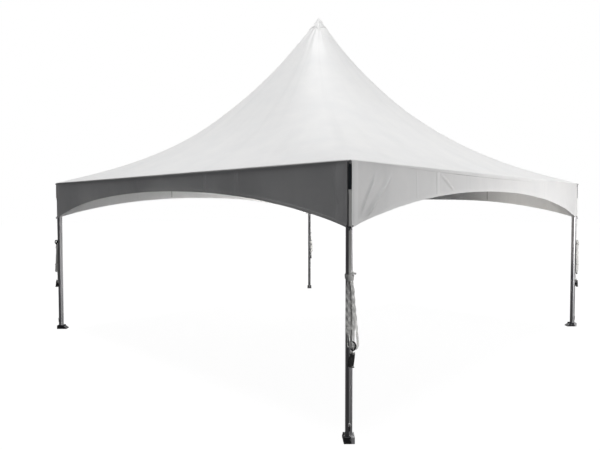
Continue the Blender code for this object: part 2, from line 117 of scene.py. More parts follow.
class Shell:
    """The points and faces of one piece, gathered grid by grid."""

    def __init__(self):
        self.points, self.faces, self.marks, self.count = [], [], [], 0

    def grid(self, points, ring=False, caps=False, marks=None, facing=None):
        """Quads between neighbouring rows and columns of points (rows, columns, 3).

        ring joins the last column to the first, and caps closes the first and last rows. A closed grid is
        turned so that its signed volume, the sum of a . (b x c) / 6, is positive, and an open one so that
        its summed normal looks along facing. marks are the cloth's own metres (rows, columns, 2).
        """
        rows, columns = points.shape[:2]
        row, column = np.meshgrid(np.arange(rows - 1), np.arange(columns if ring else columns - 1), indexing="ij")
        after = (column + 1) % columns
        quads = np.stack([row * columns + column, row * columns + after,
                          (row + 1) * columns + after, (row + 1) * columns + column], -1).reshape(-1, 4)
        flat = points.reshape(-1, 3)
        middle = flat.mean(0)
        a, b, c, d = (flat[quads[:, i]] - middle for i in range(4))
        if facing is None:
            turned = (a * np.cross(b, c)).sum() + (a * np.cross(c, d)).sum() < 0
        else:
            turned = (np.cross(c - a, d - b) @ np.asarray(facing, float)).sum() < 0
        faces = (quads[:, ::-1] if turned else quads) + self.count
        self.faces += faces.tolist()
        if caps:
            first = np.arange(columns) + self.count
            last = first + (rows - 1) * columns
            self.faces += [(first if turned else first[::-1]).tolist(), (last[::-1] if turned else last).tolist()]
        self.points.append(flat)
        self.marks.append(np.zeros((len(flat), 2)) if marks is None else np.asarray(marks, float).reshape(-1, 2))
        self.count += len(flat)

    def bar(self, points, marks=None):
        """A grid whose columns close on themselves, with its first and last rows capped."""
        self.grid(points, ring=True, caps=True, marks=marks)

    def turn(self, pivot, axis, degrees):
        """Every point so far, turned about an axis through the pivot."""
        turn = np.array(Matrix.Rotation(math.radians(degrees), 3, Vector(axis)))
        self.points = [(points - pivot) @ turn.T + pivot for points in self.points]

    def piece(self, name, finish, sharp=40):
        """The finished piece, in place, on the tent's one body."""
        mesh = bpy.data.meshes.new(name)
        mesh.from_pydata(np.concatenate(self.points).tolist(), [], self.faces)
        corner_points = np.zeros(len(mesh.loops), np.int32)
        mesh.loops.foreach_get("vertex_index", corner_points)
        mesh.uv_layers.new(name="cloth").data.foreach_set("uv", np.concatenate(self.marks)[corner_points].ravel())
        mesh.materials.append(finish)
        mesh.shade_smooth()
        mesh.set_sharp_from_angle(angle=math.radians(sharp))
        obj = bpy.data.objects.new(name, mesh)
        bpy.context.scene.collection.objects.link(obj)
        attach(obj, "root")
        return obj


def solid(name, finish, bars, sharp=40):
    """One piece made of closed bars."""
    shell = Shell()
    for points in bars:
        shell.bar(points)
    return shell.piece(name, finish, sharp)


def carried(profile, path, side):
    """A flat profile (m, 2) carried along a path (n, 3).

    Each section is square to the path: its first axis is the side vector less its part along the path,
    and its second is the path's direction crossed with that.
    """
    ahead = np.gradient(path, axis=0)
    ahead /= np.linalg.norm(ahead, axis=1, keepdims=True)
    side = side - (side * ahead).sum(1, keepdims=True) * ahead
    side /= np.linalg.norm(side, axis=1, keepdims=True)
    up = np.cross(ahead, side)
    return path[:, None] + profile[None, :, :1] * side[:, None] + profile[None, :, 1:] * up[:, None]


def round_profile(radius, sides):
    """A circle: radius (cos, sin) at equal turns."""
    turn = np.arange(sides) * 2 * math.pi / sides
    return radius * np.stack([np.cos(turn), np.sin(turn)], -1)


def flat_profile(width, thick, sides=14):
    """A flat bar with rounded edges: the superellipse |x / a|^6 + |y / b|^6 = 1, with even sides."""
    turn = (np.arange(sides) + 0.5) * 2 * math.pi / sides
    c, s = np.cos(turn), np.sin(turn)
    return np.stack([width / 2 * np.sign(c) * np.abs(c) ** 0.333, thick / 2 * np.sign(s) * np.abs(s) ** 0.333], -1)


def make_camera():
    """Camera at the photograph's angle."""
    data = bpy.data.cameras.new("camera")
    data.sensor_fit = "HORIZONTAL"
    data.sensor_width = 36.0
    data.lens = CAMERA_LENS
    data.clip_end = 200.0
    camera = bpy.data.objects.new("camera", data)
    camera.location = CAMERA_PLACE
    camera.rotation_euler = (math.pi / 2 - CAMERA_DOWN, 0.0, CAMERA_YAW)
    bpy.context.scene.collection.objects.link(camera)
    bpy.context.scene.camera = camera


# Finishes
class Finish:
    """One material, whose nodes are added a line at a time."""

    def __init__(self, name, roughness=0.5, metallic=0.0, specular=0.5):
        self.material = bpy.data.materials.new(name)
        self.material.use_nodes = True
        self.tree = self.material.node_tree
        self.shader = self.tree.nodes["Principled BSDF"]
        self.shader.inputs["Roughness"].default_value = roughness
        self.shader.inputs["Metallic"].default_value = metallic
        self.shader.inputs["Specular IOR Level"].default_value = specular

    def add(self, kind, output=0, inputs=None, **settings):
        """A node with these settings. Each input is a value or another node's output."""
        node = self.tree.nodes.new("ShaderNode" + kind)
        for key, value in settings.items():
            setattr(node, key, value)
        for key, value in (inputs or {}).items():
            self.set(node.inputs[key], value)
        return node.outputs[output]

    def set(self, socket, value):
        if isinstance(value, bpy.types.NodeSocket):
            self.tree.links.new(value, socket)
        else:
            socket.default_value = value

    def place(self, scale=(1, 1, 1)):
        """Object coordinates, times scale."""
        return self.add("Mapping", inputs={"Vector": self.add("TexCoord", "Object"), "Scale": scale})

    def cloth_place(self, scale=(1, 1, 1)):
        """The cloth's own metres, times scale."""
        return self.add("Mapping", inputs={"Vector": self.add("UVMap", uv_map="cloth"), "Scale": scale})

    def noise(self, vector, scale, detail=3.0, rough=0.5):
        return self.add("TexNoise", inputs={"Vector": vector, "Scale": scale, "Detail": detail, "Roughness": rough})

    def ribs(self, vector, scale, direction="X", profile="SIN"):
        """Straight ribs, scale / 0.314 of them in a metre of the vector."""
        return self.add("TexWave", "Fac", inputs={"Vector": vector, "Scale": scale}, bands_direction=direction,
                        wave_profile=profile)

    def sum(self, kind, a, b=0.0, c=0.0):
        return self.add("Math", inputs={0: a, 1: b, 2: c}, operation=kind)

    def shift(self, value, low, high, new_low=0.0, new_high=1.0):
        """The value mapped from low..high to new_low..new_high, and held there."""
        return self.add("MapRange", inputs={"Value": value, "From Min": low, "From Max": high,
                                            "To Min": new_low, "To Max": new_high})

    def blend(self, share, first, second):
        """Between two colours or shades."""
        return self.add("Mix", 2, inputs={0: share, 6: as_colour(first), 7: as_colour(second)}, data_type="RGBA")

    def bump(self, height, distance, strength=1.0, normal=None):
        inputs = {"Height": height, "Distance": distance, "Strength": strength}
        if normal is not None:
            inputs["Normal"] = normal
        return self.add("Bump", inputs=inputs)

    def colour(self, value):
        self.set(self.shader.inputs["Base Color"], as_colour(value))

    def roughness(self, value):
        self.set(self.shader.inputs["Roughness"], value)

    def normal(self, value):
        self.set(self.shader.inputs["Normal"], value)


def as_colour(value):
    """Three numbers as a colour with its fourth, and anything else as it is."""
    return (*value, 1.0) if isinstance(value, tuple) and len(value) == 3 else value


def soft_cloth(name, see_through, streaks):
    """White coated polyester: a plain weave 1.1 mm apart under a thin coat, with faint marks and soft puckers.

    Part of the light goes through it, see_through of it where the cloth is single. The attribute doubled is
    0 there, 0.1 at the roof's sewn edge, 1 on doubled cloth and 2 on a stitched seam. Doubled cloth is painted up to a
    quarter darker, and the stitched seam dark, as painted shade.
    """
    finish = Finish(name, roughness=0.5, specular=0.2)
    own, place = finish.cloth_place(), finish.place()
    marks = finish.noise(place, 2.3, 5.0, 0.6)
    run = finish.noise(finish.cloth_place(streaks), 1.0, 4.0, 0.55)
    shade = finish.blend(finish.shift(marks, 0.35, 0.75), (0.880, 0.880, 0.875), (0.835, 0.838, 0.840))
    shade = finish.blend(finish.shift(run, 0.52, 0.80, 0.0, 0.55), shade, (0.780, 0.785, 0.785))
    doubled = finish.add("Attribute", "Fac", attribute_name="doubled")
    # Painted shade: doubled cloth up to a quarter darker, and below a stitched seam's line painted dark, for the light
    # doubled cloth lets through less
    shade = finish.blend(finish.shift(doubled, 0.0, 1.0, 0.0, 0.25), shade, (0.800, 0.800, 0.795))
    shade = finish.blend(finish.shift(doubled, 1.2, 1.9), shade, (0.52, 0.52, 0.51))
    finish.colour(shade)
    warp = finish.ribs(own, 90.0, "X")
    weft = finish.ribs(own, 90.0, "Y")
    weave = finish.sum("MULTIPLY", warp, weft)
    fine = finish.bump(weave, 0.00012, 0.35)
    pucker = finish.noise(place, 7.0, 3.0, 0.5)
    finish.normal(finish.bump(pucker, 0.006, 0.35, fine))
    finish.roughness(finish.shift(marks, 0.3, 0.8, 0.44, 0.58))
    through = finish.add("BsdfTranslucent", inputs={"Color": shade})
    share = finish.sum("MULTIPLY", finish.shift(doubled, 0.0, 1.0, 1.0, 0.2), see_through)
    mixed = finish.add("MixShader", inputs={0: share, 1: finish.shader.outputs[0], 2: through})
    finish.tree.links.new(mixed, finish.tree.nodes["Material Output"].inputs["Surface"])
    return finish.material


def drawn_aluminium():
    """Mill finish extrusion: draw lines along the upright, dull patches, and patches darker towards the ground."""
    finish = Finish("drawn_aluminium", metallic=1.0)
    lines = finish.noise(finish.place((260, 260, 1.4)), 1.0, 4.0, 0.6)
    patches = finish.noise(finish.place((9, 9, 3)), 1.0, 4.0, 0.6)
    metal = finish.blend(patches, (0.41, 0.41, 0.42), (0.57, 0.57, 0.58))
    up = finish.add("SeparateXYZ", 2, inputs={0: finish.place()})
    # Patches darken towards the ground
    dust = finish.sum("MULTIPLY", finish.shift(up, 0.05, 0.55, 1.0, 0.0), finish.shift(patches, 0.35, 0.7))
    finish.colour(finish.blend(finish.sum("MULTIPLY", dust, 0.4), metal, (0.30, 0.29, 0.28)))
    finish.roughness(finish.shift(finish.sum("ADD", lines, patches), 0.7, 1.3, 0.42, 0.60))
    finish.normal(finish.bump(lines, 0.0002, 0.5))
    return finish.material


def plated_steel(name, dark, light, rough_low, rough_high):
    """Zinc plated or galvanized steel: spangle in cells of about 6 mm, with cloudy dull spots."""
    finish = Finish(name, metallic=1.0)
    spangle = finish.add("TexVoronoi", "Color", inputs={"Vector": finish.place(), "Scale": 160.0})
    grey = finish.add("RGBToBW", inputs={0: spangle})
    cloud = finish.noise(finish.place(), 22.0, 5.0, 0.65)
    both = finish.sum("ADD", finish.sum("MULTIPLY", grey, 0.35), finish.sum("MULTIPLY", cloud, 0.65))
    finish.colour(finish.blend(both, dark, light))
    finish.roughness(finish.shift(cloud, 0.3, 0.7, rough_low, rough_high))
    finish.normal(finish.bump(finish.noise(finish.place(), 400.0, 2.0), 0.0002, 0.3))
    return finish.material


def worn_paint(name, paint, bare, rough, grain, painted_lit_side=0.0):
    """Dark coating over steel: fine orange peel, scuffs that show the metal, and dust in the low spots.

    At the legs on the -Y side, painted_lit_side adds a painted lit side to the scuffs: the paint shows paler towards
    +X and -Y.
    x - y is wrapped over the legs' spacing, so it counts from each leg's own middle.
    """
    finish = Finish(name, metallic=0.35)
    scuffs_and_lit_side = finish.noise(finish.place(), grain, 6.0, 0.7)
    x, y = (finish.add("SeparateXYZ", output, inputs={0: finish.place()}) for output in (0, 1))
    across = finish.sum("WRAP", finish.sum("SUBTRACT", x, y), LEG_PLACE, -LEG_PLACE)
    # Painted light: on the legs at -Y, each foot shows paler towards +X and -Y, as its lit side
    side = finish.sum("MULTIPLY", finish.shift(across, -0.010, 0.030, 0.0, painted_lit_side), finish.sum("LESS_THAN", y, 0.0))
    scuffs_and_lit_side = finish.sum("ADD", scuffs_and_lit_side, side)
    dust = finish.noise(finish.place((1, 1, 0.6)), grain * 0.35, 4.0, 0.6)
    shade = finish.blend(finish.shift(scuffs_and_lit_side, 0.60, 0.70, 0.0, 0.8), paint, bare)
    finish.colour(finish.blend(finish.shift(dust, 0.5, 0.8, 0.0, 0.5), shade, (0.16, 0.15, 0.14)))
    finish.roughness(finish.shift(scuffs_and_lit_side, 0.3, 0.7, rough, rough + 0.22))
    finish.normal(finish.bump(finish.noise(finish.place(), 900.0, 2.0), 0.0002, 0.4))
    return finish.material


def woven_webbing(name, dark, light):
    """Flat webbing: a twill of slanted ribs 2.4 mm apart along it, ends drawn 3 mm apart, and a rubbed middle."""
    finish = Finish(name, roughness=0.75, specular=0.25)
    own = finish.cloth_place()
    slant = finish.add("Mapping", inputs={"Vector": own, "Rotation": (0, 0, math.radians(32))})
    twill = finish.ribs(slant, 130.0, "X")
    ends = finish.ribs(own, 105.0, "Y")
    weave = finish.sum("ADD", finish.sum("MULTIPLY", twill, 0.6), finish.sum("MULTIPLY", ends, 0.4))
    wear = finish.noise(finish.place(), 14.0, 5.0, 0.65)
    shade = finish.blend(finish.sum("MULTIPLY", weave, 0.6), dark, light)
    finish.colour(finish.blend(finish.shift(wear, 0.45, 0.75, 0.0, 0.45), shade, dark))
    finish.normal(finish.bump(weave, 0.0005, 0.7))
    finish.shader.inputs["Sheen Weight"].default_value = 0.15
    return finish.material


def pale_floor():
    """A plain white studio floor that is bright by itself and takes only a faint shadow."""
    finish = Finish("pale_floor", roughness=0.9, specular=0.0)
    grain = finish.noise(finish.place(), 3.0, 3.0)
    finish.colour(finish.blend(grain, (0.060, 0.060, 0.060), (0.065, 0.065, 0.065)))
    glow = finish.add("Emission", inputs={"Color": (1, 1, 1, 1), "Strength": 0.965})
    both = finish.add("AddShader", inputs={0: finish.shader.outputs[0], 1: glow})
    finish.tree.links.new(both, finish.tree.nodes["Material Output"].inputs["Surface"])
    return finish.material


make_camera()
ROOF_CLOTH = soft_cloth("roof_cloth", 0.20, (2.2, 0.35, 1))
VALANCE_CLOTH = soft_cloth("valance_cloth", 0.13, (5.0, 0.9, 1))
ALUMINIUM = drawn_aluminium()
PLATED = plated_steel("plated_steel", (0.34, 0.34, 0.35), (0.56, 0.56, 0.57), 0.30, 0.50)
WIRE = plated_steel("galvanized_wire", (0.42, 0.42, 0.43), (0.62, 0.62, 0.63), 0.28, 0.42)
PIN_STEEL = worn_paint("bright_pin", (0.80, 0.80, 0.79), (0.60, 0.60, 0.60), 0.30, 60.0)
# The feet's paint takes a painted lit side, paler towards +X and -Y
FOOT_PAINT = worn_paint("foot_paint", (0.028, 0.028, 0.032), (0.62, 0.62, 0.63), 0.38, 26.0, painted_lit_side=0.26)
BLACK_COAT = worn_paint("black_coat", (0.008, 0.008, 0.009), (0.14, 0.14, 0.15), 0.42, 60.0)
BLACK_WEB = woven_webbing("black_webbing", (0.010, 0.012, 0.016), (0.045, 0.052, 0.066))
PALE_WEB = woven_webbing("pale_webbing", (0.66, 0.66, 0.64), (0.95, 0.95, 0.93))


# Guy straps
# Where each strap hangs between its anchor loop and its hank: out, across, and the turn of its flat
HANGS = {"front": (0.046, 0.003, 10), "left": (0.0325, -0.0112, 45), "right": (0.047, -0.006, 40),
         "back": (0.046, -0.008, 40)}
# Each run of a hank: across and out at its top, across and out at its bottom, the turn of its flat, and how far
# its middle bulges across
RUNS = {
    "front": [(0.018, 0.058, 0.068, 0.060, -32, 0.004), (0.012, 0.068, 0.028, 0.072, -8, 0.011),
              (-0.002, 0.056, 0.002, 0.058, 10, -0.003), (-0.018, 0.051, -0.019, 0.051, 26, -0.003),
              (0.020, 0.047, 0.018, 0.047, -6, 0.002)],
    "left": [(-0.010, 0.058, -0.012, 0.086, -52, 0.000), (0.008, 0.054, 0.012, 0.070, -55, 0.000),
             (-0.016, 0.052, -0.014, 0.060, -50, -0.003), (0.018, 0.047, 0.012, 0.060, -54, 0.002),
             (-0.002, 0.046, -0.006, 0.047, -52, 0.000)],
    "right": [(0.008, 0.074, 0.020, 0.082, 70, 0.000), (-0.010, 0.068, -0.008, 0.076, 84, 0.000),
              (0.016, 0.056, 0.020, 0.058, 60, 0.003), (-0.016, 0.052, -0.018, 0.052, 78, -0.003),
              (0.002, 0.046, 0.000, 0.047, 40, 0.000)],
    "back": [(-0.020, 0.060, -0.072, 0.064, 25, -0.012), (-0.006, 0.070, -0.040, 0.070, 45, -0.006),
             (-0.014, 0.052, -0.022, 0.052, -20, 0.000), (0.004, 0.060, -0.002, 0.062, 40, 0.003),
             (-0.032, 0.045, -0.040, 0.046, 10, 0.000)],
}
# Heights at which a hank's runs turn back, low and high by turns
TURNS = {"front": (0.866, 1.436, 0.842, 1.420), "left": (0.975, 1.385, 0.952, 1.370),
         "right": (0.940, 1.418, 0.926, 1.400), "back": (0.930, 1.372, 0.900, 1.345)}
# How many degrees each strap's flat wavers, and how often in a run
WAVERS = {"front": (19, 8), "left": (5, 3), "right": (16, 6), "back": (20, 5)}
# Height of the upper tie, where the runs are drawn together
GATHERS = {"front": 1.415, "left": 1.350, "right": 1.400, "back": 1.330}


def strap_bend(end, following, height, flat, down, first):
    """The half ellipse from the end of one run to the start of the next, as route rows, and the turn of its flat.

    On the first bend the webbing rolls over with its flat to the eye, and on the others it stands square to it.
    """
    apart = following - end
    angle = np.linspace(0, math.pi, 16)[1:]
    if first:
        square, roll, tall = flat, np.degrees(angle) * np.sign(apart[0]), 2.3
    else:
        square = math.degrees(math.atan2(apart[0], -apart[1]))
        square += 180 * round((flat - square) / 180)
        roll, tall = 0, 1.3
    across, out = (end + apart * (1 - np.cos(angle))[:, None] / 2).T
    lift = np.linalg.norm(apart) / 2 * tall * np.sin(angle) * (-1 if down else 1)
    return stacked(out, across, height + lift, square, roll), square


def evened(route, step):
    """A route's rows at even steps along it, with a quarter of each neighbour mixed in."""
    reach = np.concatenate([[0], np.cumsum(np.linalg.norm(np.diff(route[:, :3], axis=0), axis=1))])
    even = np.linspace(0, reach[-1], int(reach[-1] / step))
    route = np.stack([np.interp(even, reach, column) for column in route.T], -1)
    padded = np.pad(route, ((1, 1), (0, 0)), mode="edge")
    return 0.25 * padded[:-2] + 0.5 * padded[1:-1] + 0.25 * padded[2:]


def strap_route(corner):
    """The strap's middle line in the corner's frame: rows of out, across, up, and the way of its width.

    It hangs from the loop by the leg's ridge. Then its runs go down and up in eased lines, joined by half
    ellipses as wide as the runs are apart. The flat wavers by a sin(2 pi (n s + phase)), a and n from WAVERS,
    and the upper tie draws the runs in by half. Until the end the rows hold the turn of the flat and its roll,
    both in degrees, in place of the way of the width.
    """
    top, bottom, _ = HANKS[corner]
    share = np.linspace(0, 1, 60)
    settled = ease(share / 0.10)
    out, across, flat = HANGS[corner]
    parts = [stacked(STRAP_START + (out - STRAP_START) * settled + 0.002 * np.sin(math.pi * share) ** 2,
                     across * settled, LOOP_BOTTOM + (top - LOOP_BOTTOM) * share, flat * settled, 0)]
    here, height, turned = parts[0][-1, [1, 0]], top, parts[0][-1, 3]
    runs, (sway, often) = RUNS[corner], WAVERS[corner]
    share = np.linspace(0, 1, 70)[1:]
    for i, (top_across, top_out, low_across, low_out, flat, bulge) in enumerate(runs):
        down, last = i % 2 == 0, i == len(runs) - 1
        start, end = np.array([(top_across, top_out), (low_across, low_out)])[::1 if down else -1]
        end_height = bottom - 0.004 if last else TURNS[corner][i]
        line = start + (end - start) * (share ** 1.5 if down else 1 - (1 - share) ** 1.5)[:, None]
        line += (here - start) * (1 - ease(share / 0.12))[:, None]
        line[:, 0] += bulge * np.sin(math.pi * share)
        flat += 180 * round((turned - flat) / 180)
        flats = turned + (flat - turned) * ease(share / 0.22)
        waver = sway * np.sin(2 * math.pi * (often * share + 0.37 * i))
        flats = flats + waver * ease(share / 0.25) * ease((1 - share) / 0.25)
        bend = []
        if not last:
            following = np.array(runs[i + 1][2:4] if down else runs[i + 1][0:2])
            rows, square = strap_bend(end, following, end_height, flat, down, i == 0)
            flats = flats + (square - flats) * ease((share - 0.78) / 0.20)
            bend = [rows]
            here, turned = following, square + (180 if i == 0 else 0)
        parts += [stacked(line[:, 1], line[:, 0], height + (end_height - height) * share, flats, 0), *bend]
        height = end_height
    route = np.concatenate(parts)
    route[:, 1] *= 1 - 0.5 * np.exp(-((route[:, 2] - GATHERS[corner]) / 0.05) ** 2)
    turn, roll = np.radians(route[:, 3:]).T
    wide = stacked(np.sin(turn) * np.cos(roll), np.cos(turn) * np.cos(roll), np.sin(roll))
    return evened(np.concatenate([route[:, :3], wide], -1), 0.006)


def web_marks(rows, columns, length):
    """The webbing's own metres: along it, and round its section."""
    return stacked(np.linspace(0, length, rows)[:, None], np.linspace(0, WEB_WIDTH * 2, columns)[None])


def make_straps():
    """A guy strap on each leg, from its anchor loop down to the ratchet."""
    straps = {}
    for corner in CORNERS:
        route = strap_route(corner)
        path = at_corner(corner, *route[:, :3].T)
        length = float(np.linalg.norm(np.diff(path, axis=0), axis=1).sum())
        profile = flat_profile(WEB_WIDTH, WEB_THICK)
        shell = Shell()
        shell.bar(carried(profile, path, in_corner(corner, route[:, 3:])), web_marks(len(path), len(profile), length))
        strap = shell.piece("strap_" + corner, PALE_WEB)
        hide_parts("guy_strap_" + corner, "guy_hank_" + corner)
        straps[corner] = (strap, path, length)
    return straps


STRAPS = make_straps()


def belt(corner, middle, half, height, turns, rise, width):
    """Webbing wound round the leg and its hank.

    Its path is the superellipse |out / a|^2.6 + |across / b|^2.6 = 1 about middle, which climbs by rise and
    grows by 5 per cent a turn.
    """
    start = -0.9
    angle = start + np.linspace(0, 2 * math.pi * turns, int(48 * turns))
    c, s = np.cos(angle), np.sin(angle)
    power = 2 / 2.6
    grow = 1 + 0.05 * (angle - start) / (2 * math.pi)
    out = middle[0] + half[0] * grow * np.sign(c) * np.abs(c) ** power
    across = middle[1] + half[1] * grow * np.sign(s) * np.abs(s) ** power
    up = height + rise * (angle - start) / (2 * math.pi)
    path = at_corner(corner, out, across, up)
    profile = flat_profile(width, WEB_THICK, 12)
    return (carried(profile, path, np.broadcast_to(UPRIGHT, path.shape)),
            web_marks(len(path), len(profile), 0.3 * turns))


def tail(corner, points, ways, width, thick=WEB_THICK):
    """A short end of webbing through a few points of the corner's frame.

    Between two points it is the cubic whose slope at each is half the step between that point's neighbours.
    Its width points one of two ways at its ends, and between them on the way along.
    """
    points = np.array(points, float)
    share = np.linspace(0, len(points) - 1, 12 * (len(points) - 1))
    step = np.clip(share.astype(int), 0, len(points) - 2)
    part = (share - step)[:, None]
    before, after = points[np.maximum(step - 1, 0)], points[np.minimum(step + 2, len(points) - 1)]
    a, b = points[step], points[step + 1]
    line = a + 0.5 * part * (b - before + part * (2 * before - 5 * a + 4 * b - after
                                                  + part * (3 * (a - b) + after - before)))
    path = at_corner(corner, *line.T)
    first, last = np.array(ways, float)
    profile = flat_profile(width, thick, 12)
    side = in_corner(corner, first + (last - first) * np.linspace(0, 1, len(path))[:, None])
    return carried(profile, path, side), web_marks(len(path), len(profile), 0.1)


TIES = {  # each: middle and half size (out, across), height, turns, rise a turn, width
    "front": [((0.019, 0.000), (0.066, 0.035), 1.398, 2.2, 0.015, 0.024),
              ((0.054, -0.001), (0.020, 0.032), 0.990, 1.2, 0.005, 0.010)],
    "left": [((0.054, -0.001), (0.015, 0.024), 1.338, 1.2, 0.006, 0.010),
             ((0.060, -0.003), (0.024, 0.031), 1.060, 1.2, 0.005, 0.010)],
    "right": [((0.062, 0.000), (0.024, 0.027), 1.375, 2.2, 0.014, 0.020),
              ((0.062, 0.000), (0.024, 0.031), 1.040, 1.2, 0.005, 0.010)],
    "back": [((0.058, -0.006), (0.021, 0.028), 1.315, 2.2, 0.014, 0.020),
             ((0.056, -0.022), (0.022, 0.034), 1.020, 1.2, 0.005, 0.010)],
}
# The tied ends: points (out, across, up), and which way the width points at each end
TAILS = {
    "front": [(((0.074, -0.010, 1.442), (0.083, 0.010, 1.450), (0.080, 0.030, 1.452), (0.070, 0.050, 1.447)),
               (UPRIGHT, (0.3, 0.0, 1.0))),
              (((0.080, 0.000, 1.440), (0.086, 0.008, 1.458), (0.082, 0.017, 1.468), (0.078, 0.020, 1.452)),
               ((0.0, 1.0, 0.2), (0.4, 1.0, 0.0)))],
    "left": [(((0.068, 0.010, 1.342), (0.072, -0.010, 1.346), (0.068, -0.026, 1.342), (0.060, -0.036, 1.330)),
              (UPRIGHT, (0.3, 0.0, 1.0)))],
    "right": [(((0.074, -0.008, 1.428), (0.083, 0.012, 1.438), (0.078, 0.034, 1.440), (0.070, 0.048, 1.430)),
               (UPRIGHT, (0.3, 0.0, 1.0)))],
    "back": [(((0.074, 0.000, 1.358), (0.083, -0.020, 1.366), (0.080, -0.040, 1.368), (0.070, -0.056, 1.356)),
              (UPRIGHT, (0.3, 0.0, 1.0)))],
}


def make_ties():
    """The ties that hold each hank to its leg, with their loose ends."""
    ties = {}
    for corner in CORNERS:
        shell = Shell()
        for tie in TIES[corner]:
            shell.bar(*belt(corner, *tie))
        for points, ways in TAILS[corner]:
            shell.bar(*tail(corner, points, ways, 0.018, 0.0034))
        ties[corner] = shell.piece("strap_tie_" + corner, PALE_WEB)
    return ties


TIE_PIECES = make_ties()


# Ratchets
def rod(corner, start, end, radius, sides=20):
    """A round bar between two points of the corner's frame, with a small chamfer at each end."""
    start, end = np.array(start, float), np.array(end, float)
    length = np.linalg.norm(end - start)
    edge = min(radius * 0.25, length * 0.2) / length
    share = np.array([0, edge, 1 - edge, 1])
    line = start + (end - start) * share[:, None]
    path = at_corner(corner, *line.T)
    ahead = path[-1] - path[0]
    side = np.cross(ahead, UPRIGHT) if abs(ahead[2]) < 0.9 * length else np.array((1.0, 0.0, 0.0))
    rings = carried(round_profile(1.0, sides), path, np.broadcast_to(side, path.shape))
    size = radius * np.array([0.75, 1, 1, 0.75])[:, None, None]
    return path[:, None] + (rings - path[:, None]) * size


def wire(corner, points, radius, sides=10):
    """Bent wire through points of the corner's frame."""
    path = at_corner(corner, *np.array(points, float).T)
    side = in_corner(corner, np.array([[1.0, 0, 0]]))
    return carried(round_profile(radius, sides), path, np.broadcast_to(side, path.shape))


def plate(corner, outline, across, thick):
    """A flat plate from its outline (out, up), as thick as asked about across, its edges eased by a fifth."""
    outline = np.array(outline, float)
    middle = outline.mean(0)
    rings = []
    for offset, size in ((-0.5, 0.93), (-0.3, 1.0), (0.3, 1.0), (0.5, 0.93)):
        ring = middle + (outline - middle) * size
        rings.append(at_corner(corner, ring[:, 0], across + offset * thick, ring[:, 1]))
    return np.array(rings)


def rounded(points, radius, steps=5):
    """An outline with each corner cut back by radius and replaced with a quadratic curve through the cut ends."""
    points = np.array(points, float)
    ahead, behind = np.roll(points, -1, 0) - points, np.roll(points, 1, 0) - points
    ahead /= np.linalg.norm(ahead, axis=1, keepdims=True)
    behind /= np.linalg.norm(behind, axis=1, keepdims=True)
    share = np.linspace(0, 1, steps)[None, :, None]
    first, last = (points + behind * radius)[:, None], (points + ahead * radius)[:, None]
    return ((1 - share) ** 2 * first + 2 * share * (1 - share) * points[:, None] + share ** 2 * last).reshape(-1, 2)


RATCHET_TILTS = {"front": -7, "left": 5, "right": 4, "back": -6}


# A ratchet's outlines (out, up) from its middle, and its spool's toothed wheel
FRAME_PLATE = rounded([(-0.0115, -0.058), (0.006, -0.058), (0.0095, -0.030), (0.0095, 0.022), (0.004, 0.058),
                       (-0.0115, 0.058)], 0.004)
HANDLE_PLATE = rounded([(-0.004, 0.030), (0.0155, 0.030), (0.0195, -0.020), (0.0215, -0.056), (0.013, -0.056),
                        (0.005, -0.010)], 0.004)
HANDLE_COVER = rounded([(0.0105, 0.054), (0.0135, 0.054), (0.0170, 0.016), (0.0190, -0.018), (0.0205, -0.046),
                        (0.0180, -0.046), (0.0165, -0.018), (0.0145, 0.016)], 0.001)
TONGUE = rounded([(-0.0015, -0.030), (0.0015, -0.030), (0.0105, -0.006), (0.0085, 0.000), (-0.0015, -0.014)], 0.001)
SPOOL_UP, TEETH = 0.012, 14
TOOTH_REACH = np.tile((0.0138, 0.0112), TEETH)[:, None]
SPOOL_WHEEL = (0.0, SPOOL_UP) + TOOTH_REACH * round_profile(1.0, TEETH * 2)
# Plates on both sides of the webbing: outline, how far across, and thickness
SIDE_PLATES = ((FRAME_PLATE, 0.0232, 0.0026), (HANDLE_PLATE, 0.0196, 0.0022), (SPOOL_WHEEL, 0.0165, 0.0022))
# Bars across, which are the spool, two pins and the handle's grip: out, up, radius and half length
CROSS_BARS = ((0.0, SPOOL_UP, 0.0062, 0.0250), (0.0, 0.050, 0.0050, 0.0248), (-0.002, -0.046, 0.0045, 0.0248),
              (0.0180, -0.052, 0.0050, 0.0290))
# Webbing that comes in from the strap, and its loose end: points (out, across, up) and width
WEB_ENDS = (
    (((-0.004, 0.0, 0.064), (-0.007, 0.0, 0.052), (-0.010, 0.0, 0.026), (-0.0125, 0.0, 0.010)), 0.0225),
    (((-0.002, 0.008, 0.040), (0.006, 0.010, 0.056), (0.012, 0.014, 0.066), (0.009, 0.018, 0.074)), 0.014))


